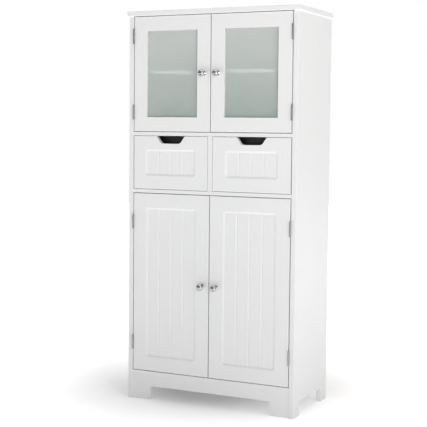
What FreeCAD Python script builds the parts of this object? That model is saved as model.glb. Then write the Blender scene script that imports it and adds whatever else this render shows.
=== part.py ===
import FreeCAD, Part
import os
import re

import Sketcher
from FreeCAD import Placement, Rotation, Vector

# Freestanding storage cabinet: two glazed doors above two drawers above two grooved doors.
# Frame: +X to the right, +Y towards the back, +Z up. The origin is on the floor, at the middle of
# the width and of the whole depth with the knobs. All sizes are millimetres.

DIMENSIONS = {
    # carcass
    "body_width": 588.0,
    "body_depth": 294.0,
    "overall_height": 1270.0,
    "board": 16.0,
    "thin_board": 12.0,
    "overhang": 6.0,
    "ease": 1.0,
    "top_ease": 2.0,
    # base
    "base_height": 80.0,
    "arch_height": 46.0,
    "apron_foot": 64.0,
    "apron_corner": 3.0,
    "apron_setback": 3.0,
    "apron_gap": 0.4,
    "side_foot": 50.0,
    "side_foot_corner": 14.0,
    # back
    "back_board": 3.0,
    "back_inset": 8.0,
    "back_groove": 6.0,
    "groove_play": 0.3,
    "rail_height": 44.0,
    "wall_hole_span": 400.0,
    "wall_hole_radius": 2.5,
    # fronts
    "lower_door_height": 583.5,
    "drawer_front_height": 171.6,
    "reveal": 2.0,
    "drawer_reveal": 1.2,
    "hinge_reveal": 3.0,
    "centre_gap": 3.0,
    "door_frame": 46.0,
    "drawer_frame": 43.0,
    "bevel_run": 6.0,
    "recess_depth": 3.0,
    "recess_corner": 9.0,
    "floor_corner": 3.0,
    "vee_half_width": 3.3,
    "vee_depth": 1.8,
    "vee_relief": 1.0,
    # glazing
    "glass_setback": 7.0,
    "glass": 4.0,
    "rebate": 8.0,
    "glass_play": 1.0,
    "bead_width": 6.5,
    # knobs
    "knob_projection": 28.0,
    "knob_radius": 11.0,
    "knob_base_radius": 8.0,
    "knob_base": 2.5,
    "knob_neck_radius": 4.0,
    "knob_neck_end": 13.0,
    "knob_rim": 20.0,
    "knob_bore_radius": 2.1,
    "knob_bore": 15.0,
    "knob_inset": 23.0,
    # hinges
    "pin_radius": 1.25,
    "pin_play": 0.05,
    "knuckle_radius": 2.75,
    "knuckle_length": 16.0,
    "knuckle_play": 0.25,
    "leaf": 1.0,
    "leaf_gap": 0.5,
    "leaf_width": 14.0,
    "pin_standoff": 3.0,
    "upper_hinge_inset": 62.0,
    "lower_hinge_inset": 92.0,
    "leaf_screw_span": 15.0,
    "leaf_screw_inset": 10.0,
    # fasteners
    "screw_radius": 1.5,
    "screw_head_radius": 2.6,
    "screw_head": 1.0,
    "screw_length": 13.0,
    "bore_play": 0.05,
    "dowel_radius": 3.0,
    "dowel_length": 20.5,
    "dowel_bore": 8.25,
    "dowel_end_bore": 12.75,
    "dowel_chamfer": 1.0,
    "cam_radius": 6.0,
    "cam_depth": 9.0,
    "cam_axis": 6.0,
    "cam_reach": 24.0,
    "cam_slot": 1.6,
    "cam_slot_length": 8.0,
    "cam_slot_depth": 1.5,
    "cam_passage": 7.0,
    "bolt_radius": 2.5,
    "bolt_thread": 10.0,
    "bolt_bore": 10.5,
    "front_fixing": 40.0,
    "back_fixing": 60.0,
    # shelves
    "shelf_play": 1.0,
    "shelf_setback": 26.0,
    "upper_shelf_rise": 187.0,
    "lower_shelf_rise": 290.0,
    "shelf_hole_step": 32.0,
    "shelf_pin_radius": 2.5,
    "shelf_pin_bore": 10.0,
    "shelf_pin_in": 9.0,
    "shelf_pin_out": 8.0,
    "shelf_pin_head": 3.5,
    "shelf_pin_front": 46.0,
    "shelf_pin_back": 230.0,
    # drawers
    "drawer_play": 3.0,
    "drawer_side_height": 112.0,
    "drawer_side_rise": 8.0,
    "drawer_length": 250.0,
    "drawer_groove": 6.5,
    "drawer_groove_width": 11.0,
    "drawer_groove_rise": 50.0,
    "runner_height": 10.0,
    "runner_front": 24.0,
    "drawer_bottom": 3.0,
    "drawer_bottom_rise": 10.0,
    "drawer_bottom_groove": 5.0,
    "drawer_dowel_rise": 32.0,
    "notch_half_width": 51.5,
    "notch_floor_half_width": 34.5,
    "notch_depth": 24.0,
    "notch_corner": 16.0,
    "liner_half_width": 64.0,
    "liner_height": 44.0,
    "liner_depth": 26.0,
    "liner_wall": 2.0,
    "liner_corner": 6.0,
    # catches
    "catch_half_width": 23.0,
    "catch_height": 13.0,
    "catch_depth": 18.0,
    "catch_play": 0.5,
    "strike": 1.2,
    "strike_width": 16.0,
    "strike_height": 14.0,
    "strike_inset": 4.0,
    # fixing places
    "runner_screw_front": 30.0,
    "runner_screw_rear": 190.0,
    "runner_stagger": 12.0,
    "runner_rear_gap": 10.0,
    "runner_play": 0.5,
    "apron_dowel_low": 20.0,
    "apron_dowel_high": 60.0,
    "stretcher_dowel_inset": 9.0,
    "rail_dowel_inset": 11.0,
    "partition_dowel_front": 50.0,
    "partition_dowel_rear": 230.0,
    # small fastener features
    "screw_point": 0.2,
    "slot_half_length": 1.6,
    "slot_half_width": 0.3,
    "slot_depth": 0.7,
    "bolt_neck_relief": 0.8,
    "bolt_tip_play": 0.5,
    "bolt_ball": 2.5,
    "bolt_neck": 6.0,
    "bolt_shoulder": 6.5,
    "pin_chamfer": 0.5,
    "pin_collar": 0.3,
    "knuckle_start": 0.5,
    "knob_flange_slope": 1.5,
    "knob_screw_head": 2.5,
    "knob_screw_crown": 3.2,
    "knob_screw_rim": 4.0,
    "knob_screw_shoulder": 1.6,
}

# A point this near a face lies on it, and an edge this long runs the height of a side.
TOUCH = 0.01
LONG_EDGE = 100
FULL_TURN = 360

PLANE_NORMAL = {"XY_Plane": 1, "XZ_Plane": -1, "YZ_Plane": 1}
ALIAS = re.compile(r"\b[a-z][a-z_]+\b")
UP = (0, 0, 1)
DOWN = (0, 0, -1)
LEFTWARDS = (-1, 0, 0)
RIGHTWARDS = (1, 0, 0)
FORWARDS = (0, -1, 0)
BACKWARDS = (0, 1, 0)

# Formulas that place the pieces, in terms of the driving dimensions.
FRONT = "((knob_projection - body_depth) / 2)"
BACK = f"({FRONT} + body_depth)"
INNER = "(body_width / 2 - board)"
CARCASS_TOP = "(overall_height - board)"
BOARD_DEPTH = "(body_depth - back_inset - back_board)"
LOWER_DOOR_Z = "(base_height + board + reveal)"
LOWER_SHELF_Z = f"({LOWER_DOOR_Z} + lower_door_height + reveal)"
DRAWER_Z = f"({LOWER_SHELF_Z} + thin_board + drawer_reveal)"
UPPER_SHELF_Z = f"({DRAWER_Z} + drawer_front_height + drawer_reveal)"
UPPER_DOOR_Z = f"({UPPER_SHELF_Z} + thin_board + reveal)"
UPPER_DOOR_HEIGHT = f"({CARCASS_TOP} - reveal - {UPPER_DOOR_Z})"
DOOR_WIDTH = f"({INNER} - hinge_reveal - centre_gap / 2)"
DRAWER_WIDTH = f"({INNER} - hinge_reveal - board / 2 - drawer_reveal)"
BAY_WIDTH = f"({INNER} - board / 2)"
BOX_WIDTH = f"({BAY_WIDTH} - 2 * drawer_play)"
BOX_Z = f"({DRAWER_Z} + drawer_side_rise)"
PIN_X = f"({INNER} - hinge_reveal / 2)"
PIN_Y = f"({FRONT} - pin_standoff)"
HINGE_LENGTH = "(3 * knuckle_length)"
FIXING_Y = (f"({FRONT} + front_fixing)", f"({BACK} - back_fixing)")
UPPER_SHELF_PIN_Z = f"({UPPER_SHELF_Z} + thin_board + upper_shelf_rise - shelf_pin_head)"
LOWER_SHELF_PIN_Z = "(base_height + board + lower_shelf_rise - shelf_pin_head)"

doc = FreeCAD.newDocument("StorageCabinet")
sheet = doc.addObject("Spreadsheet::Sheet", "Dims")
pieces = []


def fill_sheet():
    """Put each driving dimension in a cell of its own, named by an alias."""
    for row, (name, number) in enumerate(DIMENSIONS.items(), start=1):
        sheet.set(f"A{row}", name)
        sheet.set(f"B{row}", str(number))
        sheet.setAlias(f"B{row}", name)
    doc.recompute()


def prefixed(word):
    """A dimension's name with its sheet; any other word, such as a function, as it is."""
    return "Dims." + word if word in DIMENSIONS else word


def formula(text):
    """Point every dimension name in a formula at its cell in the sheet."""
    return ALIAS.sub(lambda match: prefixed(match.group(0)), text)


def value(text):
    """The number that a formula gives."""
    return float(sheet.evalExpression(formula(text)))


def place(item, x, y, z):
    """Bind an object's position to three formulas."""
    for axis, text in zip("xyz", (x, y, z)):
        item.setExpression(f"Placement.Base.{axis}", formula(text))


def new_body(label):
    """An empty body, kept as one of the cabinet's pieces."""
    body = doc.addObject("PartDesign::Body", label)
    body.Label = label
    pieces.append(body)
    return body


def master_body(label):
    """An empty body for a fastener that is only shown through its copies."""
    body = doc.addObject("PartDesign::Body", label)
    body.Label = label
    return body


def sketch_on(body, plane, level="0"):
    """A sketch parallel to one of the body's origin planes, at a level along that axis."""
    sketch = body.newObject("Sketcher::SketchObject", f"{body.Name}_sketch")
    support = next(item for item in body.Origin.OriginFeatures if item.Role == plane)
    sketch.AttachmentSupport = [(support, "")]
    sketch.MapMode = "FlatFace"
    sign = "-1 * " if PLANE_NORMAL[plane] < 0 else ""
    sketch.setExpression(".AttachmentOffset.Base.z", formula(f"{sign}({level})"))
    return sketch


def pin_point(sketch, geometry, vertex, x, y):
    """Hold one end of a line at coordinates given by two formulas."""
    for kind, text in (("DistanceX", x), ("DistanceY", y)):
        constraint = Sketcher.Constraint(kind, -1, 1, geometry, vertex, value(text))
        number = sketch.addConstraint(constraint)
        sketch.setExpression(f"Constraints[{number}]", formula(text))


def join_ends(sketch, geometries):
    """Close a run of lines and arcs end to end."""
    for current, following in zip(geometries, geometries[1:] + geometries[:1]):
        sketch.addConstraint(Sketcher.Constraint("Coincident", current, 2, following, 1))


def outline(sketch, corners):
    """A closed run of straight lines through corners given as pairs of formulas."""
    points = [Vector(value(x), value(y), 0) for x, y in corners]
    lines = []
    for start, end in zip(points, points[1:] + points[:1]):
        lines.append(sketch.addGeometry(Part.LineSegment(start, end)))
    join_ends(sketch, lines)
    for line, (x, y) in zip(lines, corners):
        pin_point(sketch, line, 1, x, y)


def rectangle(sketch, left, bottom, right, top):
    """A rectangle between two corners."""
    outline(sketch, [(left, bottom), (right, bottom), (right, top), (left, top)])


def circle(sketch, x, y, radius):
    """A circle whose centre and radius follow formulas."""
    ring = Part.Circle(Vector(value(x), value(y), 0), Vector(0, 0, 1), value(radius))
    number = sketch.addGeometry(ring)
    pin_point(sketch, number, 3, x, y)
    size = sketch.addConstraint(Sketcher.Constraint("Radius", number, value(radius)))
    sketch.setExpression(f"Constraints[{size}]", formula(radius))


def arc_through(sketch, start, middle, end, radius):
    """An arc of a bound radius; the lines beside it hold its ends."""
    number = sketch.addGeometry(Part.Arc(start, middle, end))
    size = sketch.addConstraint(Sketcher.Constraint("Radius", number, value(radius)))
    sketch.setExpression(f"Constraints[{size}]", formula(radius))
    return number


def rounded_rectangle(sketch, left, bottom, right, top, radius):
    """A rectangle with equal round corners, each side's ends held by formulas."""
    low_x, high_x = f"({left} + {radius})", f"({right} - {radius})"
    low_y, high_y = f"({bottom} + {radius})", f"({top} - {radius})"
    sides = [
        ((low_x, bottom), (high_x, bottom), (1, -1), (high_x, low_y)),
        ((right, low_y), (right, high_y), (1, 1), (high_x, high_y)),
        ((high_x, top), (low_x, top), (-1, 1), (low_x, high_y)),
        ((left, high_y), (left, low_y), (-1, -1), (low_x, low_y)),
    ]
    run = []
    for index, (start, end, outwards, centre) in enumerate(sides):
        first = Vector(value(start[0]), value(start[1]), 0)
        last = Vector(value(end[0]), value(end[1]), 0)
        line = sketch.addGeometry(Part.LineSegment(first, last))
        pin_point(sketch, line, 1, *start)
        pin_point(sketch, line, 2, *end)
        after = sides[(index + 1) % len(sides)][0]
        following = Vector(value(after[0]), value(after[1]), 0)
        bend = Vector(outwards[0], outwards[1], 0).normalize() * value(radius)
        middle = Vector(value(centre[0]), value(centre[1]), 0) + bend
        run.append(line)
        run.append(arc_through(sketch, last, middle, following, radius))
    join_ends(sketch, run)


def add_pad(body, sketch, length, towards):
    """Extrude a sketch along its plane's axis, towards +1 or -1."""
    normal = PLANE_NORMAL[sketch.AttachmentSupport[0][0].Role]
    pad = body.newObject("PartDesign::Pad", f"{body.Name}_pad")
    pad.Profile = sketch
    pad.Reversed = towards != normal
    pad.setExpression("Length", formula(length))
    body.Tip = pad
    doc.recompute()
    return pad


def check_cut(body, before):
    """A cut that points away from the solid takes nothing off, and shows no error."""
    doc.recompute()
    if body.Shape.Volume > before - 1e-6:
        raise RuntimeError(f"{body.Label}: {body.Tip.Name} takes nothing off")


def add_pocket(body, sketch, depth, into):
    """Cut a sketch into the body along its plane's axis, towards +1 or -1."""
    before = body.Shape.Volume
    normal = PLANE_NORMAL[sketch.AttachmentSupport[0][0].Role]
    pocket = body.newObject("PartDesign::Pocket", f"{body.Name}_pocket")
    pocket.Profile = sketch
    pocket.Reversed = into == normal
    pocket.setExpression("Length", formula(depth))
    body.Tip = pocket
    check_cut(body, before)


def bores(body, plane, level, centres, radius, depth, into):
    """Blind round bores of one size from one level."""
    sketch = sketch_on(body, plane, level)
    for x, y in centres:
        circle(sketch, x, y, radius)
    add_pocket(body, sketch, depth, into)


def ease_edges(body, radius, chosen):
    """Round the edges whose bounding box passes a test."""
    base = body.Tip
    names = []
    for number, edge in enumerate(base.Shape.Edges, start=1):
        if chosen(edge.BoundBox):
            names.append(f"Edge{number}")
    fillet = body.newObject("PartDesign::Fillet", f"{body.Name}_ease")
    fillet.Base = (base, names)
    fillet.setExpression("Radius", formula(radius))
    body.Tip = fillet
    doc.recompute()


def revolve(body, corners):
    """Turn a closed outline in the XZ plane about the Z axis."""
    sketch = sketch_on(body, "XZ_Plane")
    outline(sketch, corners)
    turned = body.newObject("PartDesign::Revolution", f"{body.Name}_turned")
    turned.Profile = sketch
    turned.ReferenceAxis = (sketch, ["V_Axis"])
    turned.Angle = FULL_TURN
    body.Tip = turned
    doc.recompute()


def board(label, size, corner):
    """A rectangular board from its lower left front corner."""
    body = new_body(label)
    sketch = sketch_on(body, "XY_Plane")
    rectangle(sketch, "0", "0", size[0], size[1])
    add_pad(body, sketch, size[2], 1)
    place(body, *corner)
    return body


def box(label, size, corner):
    """A plain box whose sides and corner follow formulas."""
    item = doc.addObject("Part::Box", label)
    for side, text in zip(("Length", "Width", "Height"), size):
        item.setExpression(side, formula(text))
    place(item, *corner)
    return item


def group(label, members):
    """Separate solids that share one node."""
    compound = doc.addObject("Part::Compound", label)
    compound.Label = label
    compound.Links = members
    pieces.append(compound)
    return compound


def copy_of(master, label, turn, x, y, z):
    """A linked copy of a master, turned and then placed by formulas."""
    link = doc.addObject("App::Link", label)
    link.LinkedObject = master
    link.Placement = Placement(Vector(), turn)
    place(link, x, y, z)
    return link


def aimed(direction):
    """The turn that points a master's +Z axis along a direction."""
    return Rotation(Vector(*UP), Vector(*direction))


def fasteners(label, master, places):
    """One node of identical fasteners, each given as x, y, z and the direction its +Z points."""
    links = []
    for number, (x, y, z, direction) in enumerate(places, start=1):
        links.append(copy_of(master, f"{label}_{number}", aimed(direction), x, y, z))
    return group(label, links)


# ---------------------------------------------------------------- places shared by several pieces


def hinge_heights(upper):
    """Heights of a door's two hinge centres."""
    low = UPPER_DOOR_Z if upper else LOWER_DOOR_Z
    height = UPPER_DOOR_HEIGHT if upper else "lower_door_height"
    inset = "upper_hinge_inset" if upper else "lower_hinge_inset"
    return [f"({low} + {inset})", f"({low} + {height} - {inset})"]


def leaf_screw_heights(centre):
    """Heights of the two screws of a leaf."""
    return [f"({centre} - leaf_screw_span)", f"({centre} + leaf_screw_span)"]


def all_leaf_screw_heights(upper):
    """Heights of all the screws down one door's hinge edge."""
    heights = []
    for centre in hinge_heights(upper):
        heights.extend(leaf_screw_heights(centre))
    return heights


def shelf_hole_heights(pin_height):
    """Three rows of holes a step apart; the shelf stands on the middle row."""
    return [f"({pin_height} - shelf_hole_step)", pin_height, f"({pin_height} + shelf_hole_step)"]


def runner_height():
    """Height of the middle of a drawer runner."""
    return f"({BOX_Z} + drawer_groove_rise)"


def runner_screw_depths():
    """Distances behind the front plane of a runner's two screws."""
    return ["(runner_front + runner_screw_front)", "(runner_front + runner_screw_rear)"]


HORIZONTALS = ["base_height", LOWER_SHELF_Z, UPPER_SHELF_Z]
APRON_DOWELS = ["apron_dowel_low", "apron_dowel_high"]
STRETCHER_DOWELS = ["(arch_height + stretcher_dowel_inset)", "(base_height - stretcher_dowel_inset)"]
RAIL_DOWELS = [
    f"({CARCASS_TOP} - rail_height + rail_dowel_inset)",
    f"({CARCASS_TOP} - rail_dowel_inset)",
]
RAIL_Y = f"({FRONT} + {BOARD_DEPTH} - board)"
PARTITION_DOWELS = ["partition_dowel_front", "partition_dowel_rear"]


# ---------------------------------------------------------------- carcass


def side_panel(label, side):
    """A side with feet at its floor end, grooved for the back and bored for everything it holds."""
    body = new_body(label)
    sketch = sketch_on(body, "YZ_Plane")
    back_foot = "(body_depth - side_foot)"
    outline(sketch, [
        ("0", "0"),
        ("side_foot", "0"),
        ("side_foot", "arch_height"),
        (back_foot, "arch_height"),
        (back_foot, "0"),
        ("body_depth", "0"),
        ("body_depth", CARCASS_TOP),
        ("0", CARCASS_TOP),
    ])
    add_pad(body, sketch, "board", 1)
    arch = value("arch_height")
    ease_edges(body, "side_foot_corner", lambda b: b.XLength > 1 and abs(b.ZMin - arch) < TOUCH)
    ease_edges(body, "ease", lambda b: b.YMax < TOUCH and b.ZLength > LONG_EDGE)
    inner = "board" if side < 0 else "0"
    into = side
    sketch = sketch_on(body, "YZ_Plane", inner)
    groove_front = f"({BOARD_DEPTH} - groove_play / 2)"
    groove_back = f"({BOARD_DEPTH} + back_board + groove_play / 2)"
    rectangle(sketch, groove_front, "base_height", groove_back, CARCASS_TOP)
    add_pocket(body, sketch, "back_groove", into)
    fixing = ("front_fixing", "(body_depth - back_fixing)")
    bolts = [(y, f"({z} + cam_axis)") for z in HORIZONTALS for y in fixing]
    bores(body, "YZ_Plane", inner, bolts, "(bolt_radius + bore_play)", "bolt_bore", into)
    cams = [(y, f"({CARCASS_TOP} - cam_reach)") for y in fixing]
    bores(body, "YZ_Plane", inner, cams, "(cam_radius + bore_play)", "(cam_depth + bore_play)", into)
    bolt_x = "(board - cam_axis)" if side < 0 else "cam_axis"
    passages = [(bolt_x, y) for y in fixing]
    bores(body, "XY_Plane", CARCASS_TOP, passages, "(bolt_radius + bore_play)", "cam_reach", -1)
    pins = []
    for pin_height in (UPPER_SHELF_PIN_Z, LOWER_SHELF_PIN_Z):
        for z in shelf_hole_heights(pin_height):
            pins.append(("shelf_pin_front", z))
            pins.append(("shelf_pin_back", z))
    bores(body, "YZ_Plane", inner, pins, "(shelf_pin_radius + bore_play)", "shelf_pin_bore", into)
    screws = [("leaf_screw_inset", z) for upper in (True, False) for z in all_leaf_screw_heights(upper)]
    screws.extend((y, runner_height()) for y in runner_screw_depths())
    bores(body, "YZ_Plane", inner, screws, "(screw_radius + bore_play)", "screw_length", into)
    dowels = [("(apron_setback + board / 2)", z) for z in APRON_DOWELS]
    dowels.extend(("(body_depth - board / 2)", z) for z in STRETCHER_DOWELS)
    dowels.extend((f"({BOARD_DEPTH} - board / 2)", z) for z in RAIL_DOWELS)
    bores(body, "YZ_Plane", inner, dowels, "(dowel_radius + bore_play)", "dowel_bore", into)
    place(body, "-body_width / 2" if side < 0 else INNER, FRONT, "0")


def top_board():
    """The overhanging top, bored underneath for the bolts."""
    size = ("(body_width + 2 * overhang)", "(body_depth + overhang)", "board")
    corner = ("(-body_width / 2 - overhang)", f"({FRONT} - overhang)", CARCASS_TOP)
    body = board("top_board", size, corner)
    width, depth = value(size[0]), value(size[1])
    ease_edges(body, "top_ease", lambda b: (
        (b.YMax < TOUCH or b.XMax < TOUCH or b.XMin > width - TOUCH)
        and not (b.ZLength > 1 and b.YMin > depth - TOUCH)))
    reach = "(overhang + board - cam_axis)"
    across = [reach, f"(body_width + 2 * overhang - {reach})"]
    along = ["(front_fixing + overhang)", "(body_depth - back_fixing + overhang)"]
    centres = [(x, y) for x in across for y in along]
    bores(body, "XY_Plane", "0", centres, "(bolt_radius + bore_play)", "bolt_bore", 1)


def fixed_board(label, thickness, z):
    """A board between the sides, held by a cam and bolt near each corner."""
    width = f"(2 * {INNER})"
    body = board(label, (width, BOARD_DEPTH, thickness), (f"-{INNER}", FRONT, z))
    ease_edges(body, "ease", lambda b: b.YMax < TOUCH and b.XLength > 1)
    along = ("front_fixing", "(body_depth - back_fixing)")
    cams = [(x, y) for x in ("cam_reach", f"({width} - cam_reach)") for y in along]
    bores(body, "XY_Plane", "0", cams, "(cam_radius + bore_play)", "(cam_depth + bore_play)", 1)
    ends = [(y, "cam_axis") for y in along]
    bores(body, "YZ_Plane", "0", ends, "(bolt_radius + bore_play)", "cam_reach", 1)
    bores(body, "YZ_Plane", width, ends, "(bolt_radius + bore_play)", "cam_reach", -1)
    return body


def fixed_boards():
    """The floor of the lower bay and the two boards above and below the drawers."""
    fixed_board("bottom_board", "board", "base_height")
    dowels = [(INNER, y) for y in PARTITION_DOWELS]
    lower = fixed_board("lower_fixed_shelf", "thin_board", LOWER_SHELF_Z)
    bores(lower, "XY_Plane", "thin_board", dowels, "(dowel_radius + bore_play)", "dowel_bore", -1)
    upper = fixed_board("upper_fixed_shelf", "thin_board", UPPER_SHELF_Z)
    bores(upper, "XY_Plane", "0", dowels, "(dowel_radius + bore_play)", "dowel_bore", 1)


def drawer_partition():
    """The upright between the two drawers."""
    height = "(drawer_front_height + 2 * drawer_reveal)"
    corner = ("-board / 2", FRONT, f"({LOWER_SHELF_Z} + thin_board)")
    body = board("drawer_partition", ("board", BOARD_DEPTH, height), corner)
    ease_edges(body, "ease", lambda b: b.YMax < TOUCH and b.ZLength > 1)
    dowels = [("(board / 2)", y) for y in PARTITION_DOWELS]
    bores(body, "XY_Plane", "0", dowels, "(dowel_radius + bore_play)", "dowel_end_bore", 1)
    bores(body, "XY_Plane", height, dowels, "(dowel_radius + bore_play)", "dowel_end_bore", -1)
    rise = f"({runner_height()} - {LOWER_SHELF_Z} - thin_board)"
    for level, into, shift in (("0", 1, "0"), ("board", -1, "runner_stagger")):
        screws = [(f"({y} + {shift})", rise) for y in runner_screw_depths()]
        bores(body, "YZ_Plane", level, screws, "(screw_radius + bore_play)", "screw_length", into)


def end_dowel_bores(body, length, centres):
    """Dowel bores in both ends of a rail."""
    for level, into in (("0", 1), (length, -1)):
        bores(body, "YZ_Plane", level, centres, "(dowel_radius + bore_play)", "dowel_end_bore", into)


def front_apron():
    """The board under the doors, cut away to leave a foot at each end."""
    body = new_body("front_apron")
    width = f"(2 * {INNER})"
    far_foot = f"({width} - apron_foot)"
    sketch = sketch_on(body, "XZ_Plane")
    outline(sketch, [
        ("0", "0"),
        ("apron_foot", "0"),
        ("apron_foot", "arch_height"),
        (far_foot, "arch_height"),
        (far_foot, "0"),
        (width, "0"),
        (width, "(base_height - apron_gap)"),
        ("0", "(base_height - apron_gap)"),
    ])
    add_pad(body, sketch, "board", 1)
    arch = value("arch_height")
    ease_edges(body, "apron_corner", lambda b: b.YLength > 1 and abs(b.ZMin - arch) < TOUCH)
    end = value(width)
    ease_edges(body, "ease", lambda b: b.YMax < TOUCH and b.XMax > TOUCH and b.XMin < end - TOUCH)
    end_dowel_bores(body, width, [("(board / 2)", z) for z in APRON_DOWELS])
    place(body, f"-{INNER}", f"({FRONT} + apron_setback)", "0")


def rear_stretcher():
    """The rail across the back of the base."""
    width = f"(2 * {INNER})"
    size = (width, "board", "(base_height - arch_height)")
    body = board("rear_stretcher", size, (f"-{INNER}", f"({BACK} - board)", "arch_height"))
    centres = [("(board / 2)", f"({z} - arch_height)") for z in STRETCHER_DOWELS]
    end_dowel_bores(body, width, centres)


def wall_rail():
    """The rail under the top through which the cabinet is screwed to a wall."""
    width = f"(2 * {INNER})"
    base = f"({CARCASS_TOP} - rail_height)"
    body = board("wall_rail", (width, "board", "rail_height"), (f"-{INNER}", RAIL_Y, base))
    holes = [(f"({INNER} {sign} wall_hole_span / 2)", "(rail_height / 2)") for sign in "-+"]
    bores(body, "XZ_Plane", "0", holes, "wall_hole_radius", "board", 1)
    end_dowel_bores(body, width, [("(board / 2)", f"({z} - {base})") for z in RAIL_DOWELS])


def back_panel():
    """A hardboard sheet that slides in the grooves of the sides, drilled for the wall screws."""
    lap = "(back_groove - groove_play)"
    width = f"(2 * ({INNER} + {lap}))"
    height = f"({CARCASS_TOP} - base_height)"
    corner = (f"(-{INNER} - {lap})", f"({FRONT} + {BOARD_DEPTH})", "base_height")
    body = board("back_panel", (width, "back_board", height), corner)
    rise = f"({height} - rail_height / 2)"
    holes = [(f"({width} / 2 {sign} wall_hole_span / 2)", rise) for sign in "-+"]
    bores(body, "XZ_Plane", "0", holes, "wall_hole_radius", "back_board", 1)


def adjustable_shelves():
    """The two loose shelves."""
    for label, pin_height in (
        ("upper_adjustable_shelf", UPPER_SHELF_PIN_Z),
        ("lower_adjustable_shelf", LOWER_SHELF_PIN_Z),
    ):
        depth = f"({BOARD_DEPTH} - shelf_setback - shelf_play)"
        size = (f"(2 * ({INNER} - shelf_play))", depth, "thin_board")
        height = f"({pin_height} + shelf_pin_head)"
        corner = (f"(shelf_play - {INNER})", f"({FRONT} + shelf_setback)", height)
        body = board(label, size, corner)
        ease_edges(body, "ease", lambda b: b.YMax < TOUCH and b.XLength > 1)


def drawer_runners():
    """Plastic strips that the grooved drawer sides hang and slide on."""
    length = "(drawer_length - runner_front - runner_rear_gap)"
    strips = []
    z = f"({runner_height()} - runner_height / 2)"
    thickness = "(drawer_play + drawer_groove - runner_play)"
    faces = (
        ("a", f"-{INNER}", -1),
        ("b", f"(-board / 2 - {thickness})", 1),
        ("c", "(board / 2)", -1),
        ("d", f"({INNER} - {thickness})", 1),
    )
    for name, left, fixed_side in faces:
        body = master_body(f"runner_{name}")
        sketch = sketch_on(body, "XY_Plane")
        rectangle(sketch, "0", "0", thickness, length)
        add_pad(body, sketch, "runner_height", 1)
        ease_edges(body, "ease", lambda b: b.XLength > 1)
        shift = "runner_stagger" if name == "c" else "0"
        screws = [(f"({y} - runner_front + {shift})", "(runner_height / 2)") for y in runner_screw_depths()]
        level, into = ("0", 1) if fixed_side > 0 else (thickness, -1)
        bores(body, "YZ_Plane", level, screws, "(screw_radius + bore_play)", thickness, into)
        bores(body, "YZ_Plane", level, screws, "(screw_head_radius + bore_play)", "(2 * screw_head)", into)
        place(body, left, f"({FRONT} + runner_front)", z)
        strips.append(body)
    group("drawer_runners", strips)


def magnetic_catches():
    """Twin catches that hold a pair of doors, under the top and under the lower fixed shelf."""
    y = f"({FRONT} + board + strike + catch_play)"
    cases = []
    for name, ceiling in (("upper", CARCASS_TOP), ("lower", LOWER_SHELF_Z)):
        body = master_body(f"{name}_catch_case")
        sketch = sketch_on(body, "XY_Plane")
        rectangle(sketch, "0", "0", "(2 * catch_half_width)", "catch_depth")
        add_pad(body, sketch, "catch_height", 1)
        ease_edges(body, "ease", lambda b: b.ZLength > 1)
        place(body, "-catch_half_width", y, f"({ceiling} - catch_height)")
        cases.append(body)
    group("magnetic_catches", cases)


# ---------------------------------------------------------------- fasteners and hinges


def make_screw_master():
    """A countersunk screw, head up at z = 0."""
    body = master_body("screw_master")
    revolve(body, [
        ("0", "0"),
        ("screw_head_radius", "0"),
        ("screw_radius", "-screw_head"),
        ("screw_radius", "(1 - screw_length)"),
        ("0", "(screw_point - screw_length)"),
    ])
    sketch = sketch_on(body, "XY_Plane")
    rectangle(sketch, "-slot_half_length", "-slot_half_width", "slot_half_length", "slot_half_width")
    add_pocket(body, sketch, "slot_depth", -1)
    return body


def make_dowel_master():
    """A wooden dowel about its middle, chamfered at both ends."""
    body = master_body("dowel_master")
    half = "(dowel_length / 2)"
    revolve(body, [
        ("0", f"-{half}"),
        ("(dowel_radius - dowel_chamfer)", f"-{half}"),
        ("dowel_radius", f"(dowel_chamfer - {half})"),
        ("dowel_radius", f"({half} - dowel_chamfer)"),
        ("(dowel_radius - dowel_chamfer)", half),
        ("0", half),
    ])
    return body


def make_bolt_master():
    """A cam bolt: its thread runs up from z = 0 into the panel, its shank down to the cam."""
    body = master_body("bolt_master")
    neck = "(bolt_radius - bolt_neck_relief)"
    tip = "(bolt_tip_play - cam_reach)"
    revolve(body, [
        ("0", tip),
        ("bolt_radius", tip),
        ("bolt_radius", f"({tip} + bolt_ball)"),
        (neck, f"({tip} + 3)"),
        (neck, f"({tip} + bolt_neck)"),
        ("bolt_radius", f"({tip} + bolt_shoulder)"),
        ("bolt_radius", "(bolt_thread - 1)"),
        (neck, "bolt_thread"),
        ("0", "bolt_thread"),
    ])
    return body


def make_cam_master():
    """A cam disc with its driver slot up at z = 0 and its bolt passage along +X."""
    body = master_body("cam_master")
    sketch = sketch_on(body, "XY_Plane")
    circle(sketch, "0", "0", "cam_radius")
    add_pad(body, sketch, "cam_depth", -1)
    bores(body, "YZ_Plane", "-1", [("0", "-cam_axis")], "(bolt_radius + 4 * bore_play)", "cam_passage", 1)
    sketch = sketch_on(body, "XY_Plane")
    half, width = "(cam_slot_length / 2)", "(cam_slot / 2)"
    rectangle(sketch, f"-{half}", f"-{width}", half, width)
    add_pocket(body, sketch, "cam_slot_depth", -1)
    return body


def make_shelf_pin_master():
    """A shelf pin: its stem runs up from z = 0 into the side, its head hangs below."""
    body = master_body("shelf_pin_master")
    revolve(body, [
        ("0", "(pin_chamfer - shelf_pin_out)"),
        ("(shelf_pin_head - pin_chamfer)", "(pin_chamfer - shelf_pin_out)"),
        ("shelf_pin_head", "(1 - shelf_pin_out)"),
        ("shelf_pin_head", "-pin_collar"),
        ("shelf_pin_radius", "-pin_collar"),
        ("shelf_pin_radius", "(shelf_pin_in - pin_chamfer)"),
        ("(shelf_pin_radius - pin_chamfer)", "shelf_pin_in"),
        ("0", "shelf_pin_in"),
    ])
    return body


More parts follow.
